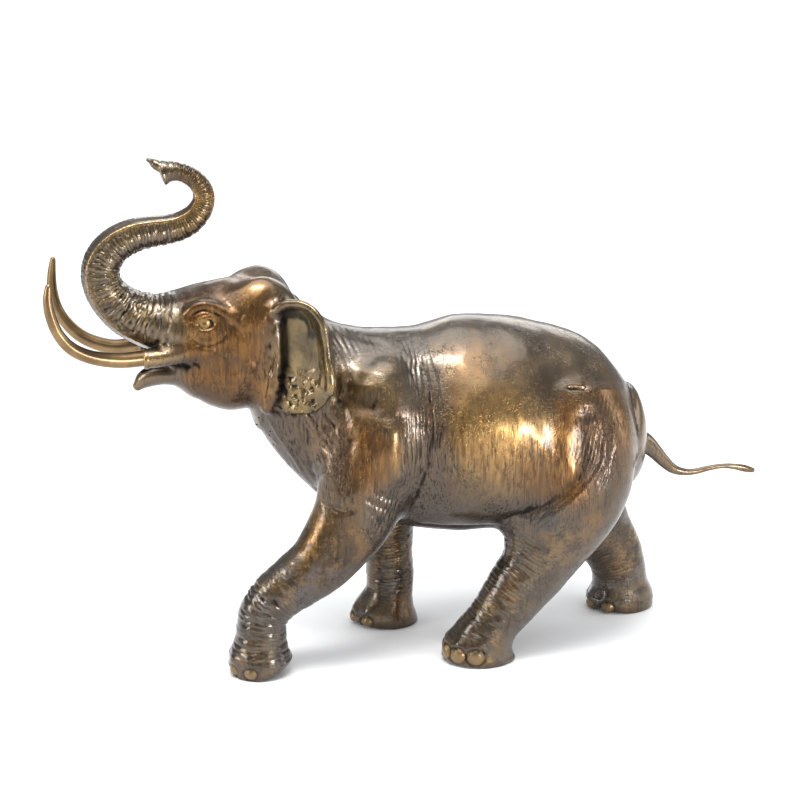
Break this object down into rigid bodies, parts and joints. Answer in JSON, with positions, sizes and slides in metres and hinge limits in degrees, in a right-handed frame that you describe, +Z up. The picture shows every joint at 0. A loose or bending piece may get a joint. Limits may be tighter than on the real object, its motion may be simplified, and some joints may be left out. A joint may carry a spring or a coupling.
{
  "type": "animal_statue",
  "caption": "Striding elephant statue: a hollow bronze casting with an S-curved raised trunk and separately set tusks, standing on its own flat soles as a display figure.",
  "frame": {"origin": "on the surface it stands on, under the middle of the figure's bounding box", "axes": "+Z up, head towards -X, tail towards +X, the animal's left side towards -Y"},
  "size_m": [0.7798, 0.2019, 0.5478],
  "materials": {
    "patinated_bronze": "brown patina rubbed back to gold on the high points, lacquered",
    "polished_bronze": "polished golden bronze with brown toning, lacquered"
  },
  "bodies": {
    "root": {"elephant": "patinated_bronze", "tusk_left": "polished_bronze", "tusk_right": "polished_bronze"}
  },
  "joints": []
}
